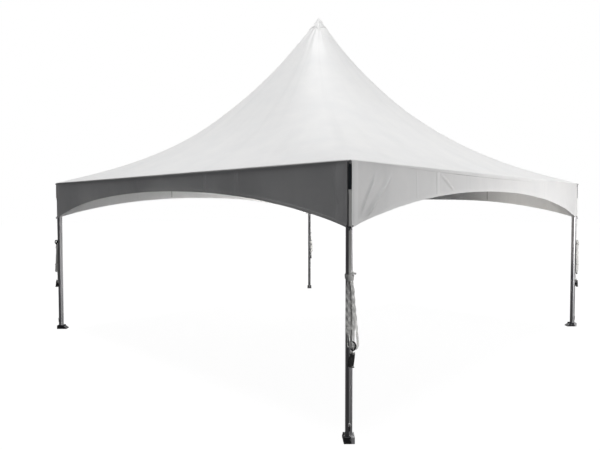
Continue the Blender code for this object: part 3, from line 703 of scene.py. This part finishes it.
def make_ratchets():
    """A ratchet under each hank: side plates with toothed spool, wound webbing, tongue and a folded handle.

    The webbing is wound on the spool in 3.2 turns, whose radius grows from 6.6 mm by 2 mm a turn.
    """
    ratchets = {}
    for corner in CORNERS:
        _, bottom, side = HANKS[corner]
        middle = bottom - GAP - RATCHET_HALF
        outward = in_corner(corner, np.array([[1.0, 0, 0]]))[0]
        tilt = (at_corner(corner, RATCHET_OUT, side, middle), outward, RATCHET_TILTS[corner])
        metal = Shell()
        for hand in (-1, 1):
            for outline, apart, thick in SIDE_PLATES:
                metal.bar(plate(corner, outline + (RATCHET_OUT, middle), side + hand * apart, thick))
        for out, up, radius, half in CROSS_BARS:
            metal.bar(rod(corner, (RATCHET_OUT + out, side - half, middle + up),
                          (RATCHET_OUT + out, side + half, middle + up), radius))
        for outline, thick in ((HANDLE_COVER, 0.0365), (TONGUE, 0.026)):
            metal.bar(plate(corner, outline + (RATCHET_OUT, middle), side, thick))
        metal.turn(*tilt)
        ratchet = metal.piece("ratchet_body_" + corner, BLACK_COAT, sharp=32)
        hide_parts("ratchet_" + corner)

        wound = Shell()
        turn = np.linspace(0, 2 * math.pi * 3.2, 110)
        radius = 0.0066 + 0.0020 * turn / (2 * math.pi)
        coil = at_corner(corner, RATCHET_OUT + radius * np.cos(turn), side, middle + SPOOL_UP + radius * np.sin(turn))
        profile = flat_profile(0.0245, 0.0015, 12)
        wound.bar(carried(profile, coil, in_corner(corner, np.tile(ACROSS, (len(coil), 1)))),
                  web_marks(len(coil), len(profile), 0.3))
        for points, width in WEB_ENDS:
            wound.bar(*tail(corner, np.array(points) + (RATCHET_OUT, side, middle), (ACROSS, ACROSS), width))
        wound.turn(*tilt)
        winding = wound.piece("ratchet_winding_" + corner, PALE_WEB)
        ratchets[corner] = [ratchet, winding]
    return ratchets


RATCHETS = make_ratchets()


# How far each loop's front layer bows out, its shift across, and its width at the bend
ANCHORS = {"front": (0.004, -0.003, 0.031), "left": (0.001, 0.0, 0.024), "right": (0.001, 0.0, 0.024),
           "back": (0.001, 0.0, 0.024)}


def make_anchors():
    """Black webbing sewn in a long loop under each corner bolt.

    Its path goes down the back layer, round a bend of 2.4 mm radius, and up the front layer, which bows out
    by bow sin(pi s). It strays across by shift (1 - sin(9 z) / 1.5), and its width grows from 24 mm at the bolt
    to its own at the bend.
    """
    top, low, full = EAVE - 0.0290, LOOP_BOTTOM + LOOP_BEND, 0.040
    share = np.linspace(0, 1, 40)
    angle = np.linspace(0, math.pi, 12)[1:-1]
    back = stacked(LOOP_BACK, top + (low - top) * share)
    turn = stacked(LOOP_BACK + LOOP_BEND * (1 - np.cos(angle)), low - LOOP_BEND * np.sin(angle))
    for corner in CORNERS:
        bow, shift, low_width = ANCHORS[corner]
        front = stacked(LOOP_FRONT + bow * np.sin(math.pi * share), low + (top - low) * share)
        out, up = np.concatenate([back, turn, front]).T
        wide = LOOP_WIDTH + (low_width - LOOP_WIDTH) * ease((top - up) / 0.060)
        path = at_corner(corner, out, shift * (1 - np.sin(9 * up) / 1.5), up)
        side = in_corner(corner, np.tile(ACROSS, (len(path), 1)))
        web = carried(flat_profile(full, 0.0020), path, side)
        across = ((web - path[:, None]) * side[:, None]).sum(-1, keepdims=True) * side[:, None]
        web = web + across * (wide / full - 1)[:, None, None]
        shell = Shell()
        shell.bar(web, web_marks(len(path), web.shape[1], 0.45))
        anchor = shell.piece("anchor_web_" + corner, BLACK_WEB)
        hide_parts("anchor_loop_" + corner)


make_anchors()


def make_hooks():
    """The coated wire hook of each strap: an open C with a curled back tip, by the strap's first bend.

    On the left corner it is a closed eye at the top of the hank.
    """
    hooks = {}
    for corner in CORNERS:
        if corner == "left":
            angle, thick = np.radians(np.linspace(-100, 250, 50)), 0.0085
            ring = stacked(0.061 + 0.017 * np.cos(angle), 0.004, 1.430 + 0.028 * np.sin(angle))
            curl = [(0.004, 0.006, -0.012)]
        else:
            angle, thick = np.radians(np.linspace(96, -100, 40)), 0.0064
            hand, middle = np.sign(RUNS[corner][0][2]), TURNS[corner][0] - 0.024
            ring = stacked(0.078, hand * (0.022 + 0.025 * np.cos(angle)), middle + 0.036 * np.sin(angle))
            curl = [(0.0, -0.002 * hand, 0.006), (0.001, -0.001 * hand, 0.013)]
        bent = wire(corner, np.concatenate([ring, ring[-1] + np.array(curl)]), thick)
        hooks[corner] = solid("strap_hook_" + corner, BLACK_COAT, [bent])
    return hooks


HOOKS = make_hooks()


# A tip cord's loop, its knot with one end, and its other end: points (out, across, up) and width
TIP_CORD = (
    ([(0.018, -0.027, 1.848), (0.030, -0.030, 1.846), (0.044, -0.020, 1.838), (0.0540, -0.004, 1.833),
      (0.0540, 0.006, 1.834), (0.044, 0.022, 1.839), (0.030, 0.030, 1.846), (0.018, 0.027, 1.848)], 0.0045),
    ([(0.054, -0.010, 1.832), (0.062, -0.003, 1.841), (0.064, 0.005, 1.836), (0.060, 0.006, 1.827),
      (0.058, -0.002, 1.829), (0.062, -0.005, 1.822), (0.058, -0.008, 1.808)], 0.0060),
    ([(0.058, 0.005, 1.831), (0.063, 0.008, 1.823), (0.059, 0.013, 1.814)], 0.0060))


def make_tip_cords():
    """The dark cord that ties the tips of two valances together over each leg's strap, with a knot and two ends.

    Away from the near corner the valances meet closer, and it stands off the strap by half as much.
    """
    for corner in CORNERS:
        shell = Shell()
        for points, width in TIP_CORD:
            line = np.array(points)
            if corner != "front":
                line[:, 0] -= 0.5 * np.maximum(line[:, 0] - 0.048, 0)
            shell.bar(*tail(corner, line, ((0.0, 0.6, 1.0), (0.0, 0.6, 1.0)), width, width * 0.9))
        shell.piece("tip_cord_" + corner, BLACK_WEB)


make_tip_cords()


# Canopy
def cloth_height(out, turn):
    """Height at a share out to the eave and a turn from mid side (0) to the hip (1).

    Level sections are rounded squares of power 2 / (1 - out). With w in from the eave, the rise is
    0.335 w + 0.665 w^2.9 of its whole.
    """
    power = 2 / np.maximum(1 - out, 1e-6)
    way_in = 1 - out * ((1 + np.abs(turn) ** power) / 2) ** (1 / power)
    return EAVE + (CLOTH_TIP - EAVE) * (STRAIGHT_SHARE * way_in + (1 - STRAIGHT_SHARE) * way_in ** SWEEP_POWER)


# How far the roof cloth comes down over each valance at mid side and at the corners, how fast it changes between
# them, and how many degrees it stands off the valance
DROPS = {"back_right": (0.040, 0.010, 3, 6), "back_left": (0.040, 0.010, 3, 6), "front_left": (0.024, 0.008, 5, 0),
         "front_right": (0.050, 0.004, 2, 7)}


def thicken(obj, thickness, offset):
    """Thickness for a sheet of cloth: half to each side with offset 0, and all of it inward with -1."""
    layer = obj.modifiers.new("cloth", "SOLIDIFY")
    layer.thickness = thickness
    layer.offset = offset


def mark_doubled(obj, layers):
    """The attribute doubled, for each point of a piece of cloth."""
    data = obj.data.attributes.new("doubled", "FLOAT", "POINT").data
    data.foreach_set("value", np.asarray(layers, np.float32).ravel())


def canopy_grid(rows, columns, first, last):
    """Draped points of the roof cloth, from share first to share last of the way from the mast to the eave."""
    out = first + (last - first) * np.linspace(0, 1, rows)[:, None] ** 1.5
    turn = -1 + 2 * np.arange(columns) / columns
    up = cloth_height(out, turn[None])
    return drape(np.concatenate([at_side(side, HALF * out, HALF * out * turn, up) for side in SIDES], 1))


def drape(points):
    """Pleats and drift of the roof cloth, for points on its smooth form.

    At r from the mast and a round it, the cloth is pushed out and up by a sum of sines of k a. Three of them, up
    to 3 mm, are pleats that fade by 0.77 m from the mast, and 4 mm of sin(5 a) lies between 0.5 and 2.4 m. The
    cloth also leans up to 26 mm to -X and 27 mm to +Y from a height of 2.95 m on, and 0.4 of that at the peak.
    """
    x, y, z = np.moveaxis(points, -1, 0)
    round_it, radius = np.arctan2(y, x), np.hypot(x, y)
    fade = ease((radius - 0.05) / 0.08) * (1 - ease((radius - 0.22) / 0.55))
    pleats = sum(size * np.sin(count * round_it + phase)
                 for size, count, phase in ((0.0030, 17, 0.8), (0.0018, 29, 2.1), (0.0014, 9, 0.0)))
    slack = 0.004 * np.sin(5 * round_it + 1.3) * ease((radius - 0.5) / 0.6) * (1 - ease((radius - 1.6) / 0.8))
    lift = fade * pleats + slack
    lean = ease((z - 2.95) / 0.7) * (1 - 0.6 * ease((z - 4.55) / 0.55))
    scale = 1 + lift / np.maximum(radius, 0.03)
    return stacked(x * scale - 0.026 * lean, y * scale + 0.027 * lean, z + 0.35 * lift)


def make_canopy():
    """One curved sheet from the crown to the eaves, rolled over the eave beams and down to a sewn edge.

    The roll is an arc of 16 mm radius from the roof's own slope to the valance's, and the edge hangs straight on.
    """
    per_side, inner = 60, 0.034 / HALF
    roll_radius, proud = 0.016, 0.0030
    turn = np.tile(-1 + 2 * np.arange(per_side) / per_side, 4)
    drop_mid, drop_end, power, stand_off = (np.repeat([DROPS[side][i] for side in SIDES], per_side) for i in range(4))
    drop = drop_end + (drop_mid - drop_end) * (1 - np.abs(turn) ** power)
    start_angle = np.arctan((cloth_height(np.full_like(turn, 0.985), turn) - EAVE) / (0.015 * HALF))
    end_angle = math.pi / 2 - np.radians(stand_off) * (1 - np.abs(turn) ** 4)
    cut = roll_radius * np.tan((end_angle - start_angle) / 2)
    yaw = np.repeat(list(SIDES.values()), per_side)
    c, s = np.cos(yaw), np.sin(yaw)

    def ring(reach, up):
        """A row round the eave, at a reach square to each side."""
        return stacked(reach * (c - turn * s), reach * (s + turn * c), up)

    def rolled(angle):
        """Reach and height on the roll."""
        return (HALF + proud - cut * np.cos(start_angle) + roll_radius * (np.sin(angle) - np.sin(start_angle)),
                EAVE + cut * np.sin(start_angle) + roll_radius * (np.cos(angle) - np.cos(start_angle)))

    rows = [ring(*rolled(start_angle + (end_angle - start_angle) * share)) for share in np.linspace(0, 1, 9)]
    end_reach, end_up = rolled(end_angle)
    fall = np.maximum(drop - (EAVE - end_up), 0.002)
    rows += [ring(end_reach + fall * share * np.cos(end_angle), end_up - fall * share)
             for share in np.linspace(0, 1, 5)[1:]]
    points = np.concatenate([canopy_grid(96, per_side, inner, 1 - 0.016 / HALF), np.array(rows)])
    steps = np.linalg.norm(np.diff(points, axis=0), axis=2)
    down = np.concatenate([np.zeros((1, points.shape[1])), np.cumsum(steps, 0)])
    shell = Shell()
    marks = stacked(np.arange(points.shape[1]) * 2 * HALF / per_side, down)
    shell.grid(points, ring=True, marks=marks, facing=UPRIGHT)
    canopy = shell.piece("canopy", ROOF_CLOTH, sharp=75)
    doubled = np.zeros(points.shape[:2])
    # The sewn edge counts as a little doubled: it lets less light through and is painted a little darker, as shade
    doubled[-5:] = 0.1
    mark_doubled(canopy, doubled)
    thicken(canopy, 0.0012, -1)
    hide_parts(*("roof_panel_" + side for side in SIDES))
    a, b = points[:-1], points[1:]
    wide = np.linalg.norm(np.roll(points, -1, 1) - points, axis=2)
    area = float((np.linalg.norm(b - a, axis=2) * (wide[:-1] + wide[1:]) / 2).sum())


make_canopy()


def make_crown_cap():
    """The crown cap, turned about the mast with 11 shallow gathers and a rolled hem, and draped like the roof.

    At share s out, its height has fallen by (sqrt(s^2 + t^2) - t) / (sqrt(1 + t^2) - t) of the whole, with t
    0.16, which rounds the tip.
    """
    columns, tip_radius, bead, tip = 88, 0.0015, 0.0022, 0.16
    turn = np.arange(columns) * 2 * math.pi / columns
    skirt_up = float(cloth_height(CAP_SKIRT / HALF, 0.0)) + 0.0045
    share = np.linspace(0, 1, 26)[:, None]
    fallen = (np.sqrt(share ** 2 + tip ** 2) - tip) / (math.sqrt(1 + tip ** 2) - tip)
    gather = 1 + 0.035 * np.sin(11 * turn)[None] * ease(share * 1.4)
    reach = (tip_radius + (CAP_SKIRT - tip_radius) * share) * gather
    angle = np.linspace(0, 1.5 * math.pi, 9)[1:, None]
    reach = np.concatenate([reach, CAP_SKIRT * gather[-1:] + bead * np.sin(angle), np.full((1, columns), 0.032)])
    up = np.concatenate([PEAK - (PEAK - skirt_up) * fallen, skirt_up - bead + bead * np.cos(angle),
                         [[skirt_up + 0.036]]])
    points = drape(stacked(reach * np.cos(turn), reach * np.sin(turn), up))
    shell = Shell()
    shell.bar(points, stacked(turn[None] * 0.03, np.linspace(0, 0.16, len(points))[:, None]))
    cap = shell.piece("crown_cap", ROOF_CLOTH, sharp=60)
    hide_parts("peak_cap")


def make_crown_patch():
    """A band of the roof cloth's own form sewn on under the cap, 1.6 mm off it and gathered, with two rows of lacing.

    Each stitch is a short bar down the cloth, whose middle stands 2.4 mm off it.
    """
    rows = 24
    band = canopy_grid(rows, 40, 0.052 / HALF, 0.128 / HALF)
    away = band[..., :2] / np.linalg.norm(band[..., :2], axis=2, keepdims=True)
    pleat = 0.0012 * np.sin(31 * np.arctan2(band[..., 1], band[..., 0]))
    band[..., :2] += away * (0.0016 + np.abs(pleat))[..., None]
    columns = band.shape[1]
    shell = Shell()
    marks = stacked(np.arange(columns)[None] * 0.005, np.linspace(0, 0.17, rows)[:, None])
    shell.grid(band, ring=True, marks=marks, facing=UPRIGHT)
    thicken(shell.piece("crown_patch", ROOF_CLOTH, sharp=60), 0.0012, 0)

    count, stands = 40, np.array([0.0008, 0.002, 0.0024, 0.002, 0.0008])[:, None]
    stitches = []
    for row in (21, 4):
        for column in np.arange(count) * columns // count:
            beside = band[row, (column + 1) % columns] - band[row, column - 1]
            below = band[row + 1, column] - band[row - 1, column]
            beside, below = beside / np.linalg.norm(beside), below / np.linalg.norm(below)
            line = band[row, column] + np.linspace(-0.006, 0.006, 5)[:, None] * below
            line = line + np.array([*away[row, column], 0.5]) * stands
            stitches.append(carried(round_profile(0.0016, 6), line, np.broadcast_to(beside, line.shape)))
    solid("crown_lacing", PALE_WEB, stitches)


make_crown_cap()
make_crown_patch()


# Valances
# Seams of each valance: where along it, and how wide the doubled cloth is
SEAMS = {
    "front_left": [(1.558, 0.063), (1.018, 0.050), (0.781, 0.016), (-0.45, 0.030), (-1.35, 0.030), (-2.25, 0.030)],
    "front_right": [(-2.010, 0.018), (-1.590, 0.060), (-0.943, 0.020), (-0.172, 0.020), (0.587, 0.020), (1.528, 0.030),
                    (2.30, 0.020)],
    "back_left": [(0.879, 0.040), (-0.9, 0.030), (1.6, 0.030), (-2.1, 0.030)],
    "back_right": [(-1.499, 0.040), (0.7, 0.030), (1.8, 0.030), (-1.9, 0.030)],
}
# Folds: along and height of each end, how far the fold stands out, and its half width
FOLDS = {
    "front_left": [((2.86, 2.36), (2.93, 2.00), 0.003, 0.020)],
    "front_right": [((-2.903, 1.945), (-2.690, 2.290), 0.017, 0.016), ((-2.825, 1.917), (-2.455, 2.292), 0.024, 0.022),
                    ((-2.010, 2.37), (-1.985, 2.02), 0.004, 0.012), ((-1.610, 2.37), (-1.600, 2.10), 0.006, 0.013),
                    ((-1.541, 2.346), (-1.245, 2.187), 0.008, 0.018),
                    ((2.60, 2.02), (2.35, 2.30), 0.004, 0.022)],
    "back_left": [((-2.80, 1.95), (-2.50, 2.28), 0.005, 0.020), ((2.78, 1.95), (2.48, 2.26), 0.004, 0.020)],
    "back_right": [((-2.80, 1.95), (-2.50, 2.28), 0.005, 0.020), ((2.78, 1.95), (2.50, 2.25), 0.004, 0.020)],
}
# Width of the doubled cloth at each valance's low and high end
POCKETS = {"front_left": (0.100, 0.130), "front_right": (0.090, 0.100), "back_left": (0.100, 0.100),
           "back_right": (0.100, 0.100)}
# How far each valance ends short of its corners, at its low and its high along
SLOTS = {"front_left": (0.010, 0.028), "front_right": (0.020, 0.010), "back_left": (0.010, 0.032),
         "back_right": (0.010, 0.010)}
# Where a stitched seam runs down the two far sides, its dark line painted shade
STITCHED = {"back_left": 0.879, "back_right": -1.499}
# How far slack cloth sags
SAGS = {"front_left": 0.0, "front_right": 0.0, "back_left": 0.002, "back_right": 0.034}
# Phase of each valance's waves
WAVES = {"front_left": 0.4, "front_right": 1.9, "back_left": 3.1, "back_right": 4.6}


def arch_height(side, along):
    """The valance's lower edge: 0.206 below the eave at mid side, plus 0.366 (0.76 u^2 + 0.24 u^4) at u of the way
    out. The tied tips are pulled down by 0.012 u^24 more, and slack cloth sags by SAGS (1 - u^2), eased in from
    the low end."""
    u = np.asarray(along) / HALF
    grows = ARCH_SQUARE_SHARE * u ** 2 + (1 - ARCH_SQUARE_SHARE) * u ** 4
    sag = SAGS[side] * (1 - u ** 2) * ease((u + 0.75) / 0.7)
    return EAVE - ARCH_MID - (ARCH_TIP - ARCH_MID) * grows - 0.012 * u ** 24 - sag


def valance_out(side, along, up):
    """How far the cloth stands from the mast: the side's plane plus slow waves that grow down to the free edge,
    and a rounded ridge exp(-(d / w)^2) along each fold."""
    fall = np.clip((FRAME_TOP - up) / np.maximum(FRAME_TOP - arch_height(side, along), 0.01), 0, 1)
    held = 1 - ease((np.abs(along) - 2.70) / 0.30)
    phase = WAVES[side]
    waves = (0.0042 * np.sin(2.9 * along + phase) + 0.0030 * np.sin(6.1 * along + 2.3 * phase)
             + 0.0016 * np.sin(13.7 * along + 5.0 * up + phase))
    stand = HALF - 0.0015 + waves * fall ** 1.5 * held
    for (a0, z0), (a1, z1), height, width in FOLDS[side]:
        line = np.array([a1 - a0, z1 - z0])
        long = np.linalg.norm(line)
        line = line / long
        way = ((along - a0) * line[0] + (up - z0) * line[1]) / long
        off = (along - a0) * line[1] - (up - z0) * line[0]
        stand = stand + height * np.exp(-(off / width) ** 2) * ease((way + 0.1) / 0.35) * ease((1.1 - way) / 0.35)
    return stand


def on_valance(side, along, up, proud=0.0):
    """Points on a valance's cloth, or proud of it."""
    along, up = np.broadcast_arrays(along, up)
    return at_side(side, valance_out(side, along, up) + proud, along, up)


# The bound hem's section: up from the arch, and out from the cloth
HEM = np.array([(-0.0010, 0.0), (0.0, 0.0018), (0.014, 0.0020), (0.0275, 0.0016), (0.0282, 0.0), (0.0275, -0.0016),
                (0.014, -0.0020), (0.0, -0.0018)])


def seam_edges(middle, width):
    """Each edge of a seam, and 2 mm past it."""
    return [middle - width / 2 - 0.002, middle - width / 2, middle + width / 2, middle + width / 2 + 0.002]


def valance_places(side, first, last):
    """Where along a valance its points stand: 300 even places, seam and pocket edges, and close ones over folds."""
    low_pocket, high_pocket = POCKETS[side]
    seams = SEAMS[side] + ([(STITCHED[side], 0.014)] if side in STITCHED else [])
    edges = [edge for seam in seams for edge in seam_edges(*seam)]
    edges += [first + low_pocket, first + low_pocket + 0.002, last - high_pocket - 0.002, last - high_pocket]
    close = [np.arange(min(a, b) - 3 * width, max(a, b) + 3 * width, width * 0.45)
             for (a, _), (b, _), _, width in FOLDS[side]]
    return np.unique(np.round(np.clip(np.concatenate([np.linspace(first, last, 300), edges, *close]), first, last), 4))


def valance_trim(side, first, last):
    """The bound hem along the arch, and the tapes down the wide seams, the pockets and the ends."""
    trim = Shell()
    along = np.linspace(first, last, 260)[:, None]
    trim.bar(on_valance(side, along, arch_height(side, along) + HEM[:, 0], HEM[:, 1]),
             stacked(along, np.linspace(0, 0.06, len(HEM))))
    low_pocket, high_pocket = POCKETS[side]
    bands = [(middle - width / 2, middle + width / 2, 0.0016) for middle, width in SEAMS[side] if width > 0.025]
    bands += [(first + 0.013, first + low_pocket, 0.0016), (last - high_pocket, last - 0.013, 0.0016),
              (first, first + 0.011, 0.0060), (last - 0.011, last, 0.0060)]
    top = FRAME_TOP - 0.001
    for low, high, proud in bands:
        edge = np.array([low, low + 0.001, (low + high) / 2, high - 0.001, high])
        lift = np.array([0.5, 0.95, 1.0, 0.95, 0.5]) * proud
        along = np.concatenate([edge, edge[::-1]])
        up = top + (arch_height(side, along) + 0.0276 - top) * np.linspace(0, 1, 24)[:, None]
        trim.bar(on_valance(side, along, up, np.concatenate([lift, np.full(5, 0.0006)])), stacked(along, up))
    return trim.piece("valance_trim_" + side, VALANCE_CLOTH, sharp=50)


def make_valances():
    """Each valance is one sheet between its top edge and its arch, with a bound hem, edge pockets and seam tapes."""
    for side in SIDES:
        first, last = -HALF + SLOTS[side][0], HALF - SLOTS[side][1]
        along = valance_places(side, first, last)
        up = FRAME_TOP + (arch_height(side, along) - FRAME_TOP) * np.linspace(0, 1, 56)[:, None]
        shell = Shell()
        shell.grid(on_valance(side, along, up), marks=stacked(along, up), facing=at_side(side, 1, 0, 0))
        cloth = shell.piece("valance_cloth_" + side, VALANCE_CLOTH, sharp=75)
        low_pocket, high_pocket = POCKETS[side]
        # Doubled cloth lets less light through, and the finish also paints it darker, as painted shade
        doubled = ((along < first + low_pocket + 1e-6) | (along > last - high_pocket - 1e-6)) * 1.0
        for middle, width in SEAMS[side]:
            doubled[np.abs(along - middle) <= width / 2 + 1e-6] = 1.0
        if side in STITCHED:
            doubled[np.abs(along - STITCHED[side]) < 0.0075] = 2.0
        mark_doubled(cloth, np.broadcast_to(doubled, up.shape))
        thicken(cloth, 0.0010, 0)
        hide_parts("valance_" + side)
        trims = valance_trim(side, first, last)
        # The trims count as doubled, so they too are painted darker as shade
        mark_doubled(trims, np.ones(len(trims.data.vertices)))


make_valances()


# Metal details
def make_corner_details():
    """A six sided nut and a bright washer on each corner bolt, and low on each leg's ridge a bright pin with its ring,
    over a black bar that is painted shade for the dark slot in the leg."""
    up, pin_up = EAVE - 0.020, 0.164
    for corner in CORNERS:
        solid("corner_nut_" + corner, BLACK_COAT,
              [rod(corner, (0.0520, 0, up), (0.0605, 0, up), 0.0115, 6)], sharp=30)
        angle = np.radians(np.linspace(60, 400, 40))
        ring = stacked(0.0440, 0.003 + 0.012 * np.cos(angle), pin_up - 0.006 + 0.012 * np.sin(angle))
        solid("leg_pin_" + corner, PIN_STEEL,
              [rod(corner, (0.0500, 0, up), (0.0518, 0, up), 0.0150, 28),
               rod(corner, (0.0330, 0.001, pin_up), (0.0470, 0.001, pin_up), 0.0100),
               wire(corner, ring, 0.0016)], sharp=30)
        # Painted shade: a black bar stands where the leg's slot shows dark
        solid("leg_slot_shade_" + corner, BLACK_COAT,
              [rod(corner, (0.0370, 0.001, 0.104), (0.0370, 0.001, 0.150), 0.0066)], sharp=30)


make_corner_details()

NODE_FINISHES = {"leg": ALUMINIUM, "eave_beam": ALUMINIUM, "mast": ALUMINIUM, "foot": FOOT_PAINT,
                 "corner_fitting": PLATED, "mast_hub": PLATED, "cable": WIRE}


def finish_frame():
    """Each shown node of the frame takes the finish of the longest name that starts its own."""
    for name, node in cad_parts.items():
        if node.hide_render:
            continue
        start = max((key for key in NODE_FINISHES if name.startswith(key)), key=len)
        for slot in node.material_slots:
            slot.material = NODE_FINISHES[start]


finish_frame()


# Studio
def make_floor():
    """The floor, half a millimetre under the feet, which only the camera sees."""
    shell = Shell()
    reach = np.linspace(-60, 60, 3)
    shell.grid(stacked(reach[:, None], reach[None], -0.0005), facing=UPRIGHT)
    floor = shell.piece("studio_floor", pale_floor())
    floor.visible_diffuse = False
    floor.visible_glossy = False
    floor.visible_transmission = False


# Each lamp: name, place, the point it looks at, size, power, colour, and its beam's width in degrees
WHITE = (1.0, 1.0, 1.0)
LAMPS = (
    ("roof_light", (-2.8, -0.7, 11.6), (-0.3, -0.3, 3.2), (2.0, 4.4), 335, WHITE, 180),
    ("left_roof_light", (-2.6, 6.0, 10.5), (-0.4, 0.4, 4.0), (2.0, 2.0), 105, WHITE, 180),
    ("front_light", (-1.5, -19.0, 3.2), (-1.5, -3.0, 2.4), (4.0, 3.0), 660, WHITE, 180),
    ("right_light", (1.8, -7.0, 2.2), (1.2, -3.0, 2.2), (2.4, 1.0), 136, (1.0, 0.985, 0.975), 180),
    ("right_leg_light", (8.0, -5.0, 1.0), (3.05, -3.05, 0.9), (1.0, 1.8), 5, WHITE, 180),
    ("left_leg_light", (3.0, -1.5, 0.8), (-3.05, 3.05, 0.8), (0.8, 1.4), 0.55, WHITE, 30),
    ("inner_light", (2.0, 0.0, 1.2), (2.0, 3.05, 2.2), (1.6, 0.8), 69, (1.0, 0.98, 0.945), 180),
    ("right_inner_light", (1.4, -1.9, 0.9), (3.05, -2.35, 2.35), (1.2, 0.8), 4.2, (1.0, 0.965, 0.915), 70),
    ("strap_light", (-4.2, -7.2, 0.5), (-3.05, -3.05, 0.95), (0.5, 0.5), 0.50, WHITE, 20),
    ("back_light", (13.0, 11.0, 8.0), (0.0, 0.0, 2.6), (5.0, 5.0), 1000, WHITE, 180))


def soft_box(name, place, aim, size, power, colour, spread):
    """A wide soft lamp that isn't seen itself."""
    data = bpy.data.lights.new(name, "AREA")
    data.shape = "RECTANGLE"
    data.size, data.size_y = size
    data.energy = power
    data.color = colour
    data.spread = math.radians(spread)
    lamp = bpy.data.objects.new(name, data)
    lamp.location = place
    lamp.rotation_euler = (Vector(aim) - Vector(place)).to_track_quat("-Z", "Y").to_euler()
    lamp.visible_camera = False
    bpy.context.scene.collection.objects.link(lamp)


def make_lights():
    """The lamps, a soft sun from above, and a dim world that the camera sees as white."""
    for lamp in LAMPS:
        soft_box(*lamp)
    sky = bpy.data.lights.new("sky_light", "SUN")
    sky.energy = 2.2
    sky.angle = 0.35
    bpy.context.scene.collection.objects.link(bpy.data.objects.new("sky_light", sky))
    world = bpy.data.worlds.new("studio")
    bpy.context.scene.world = world
    world.use_nodes = True
    nodes, links = world.node_tree.nodes, world.node_tree.links
    soft = nodes["Background"]
    soft.inputs["Color"].default_value = (0.080, 0.080, 0.083, 1)
    seen = nodes.new("ShaderNodeBackground")
    seen.inputs["Color"].default_value = (1, 1, 1, 1)
    ray = nodes.new("ShaderNodeLightPath")
    mix = nodes.new("ShaderNodeMixShader")
    links.new(ray.outputs["Is Camera Ray"], mix.inputs[0])
    links.new(soft.outputs[0], mix.inputs[1])
    links.new(seen.outputs[0], mix.inputs[2])
    links.new(mix.outputs[0], nodes["World Output"].inputs["Surface"])


make_floor()
make_lights()
bpy.context.scene.view_settings.view_transform = "Standard"
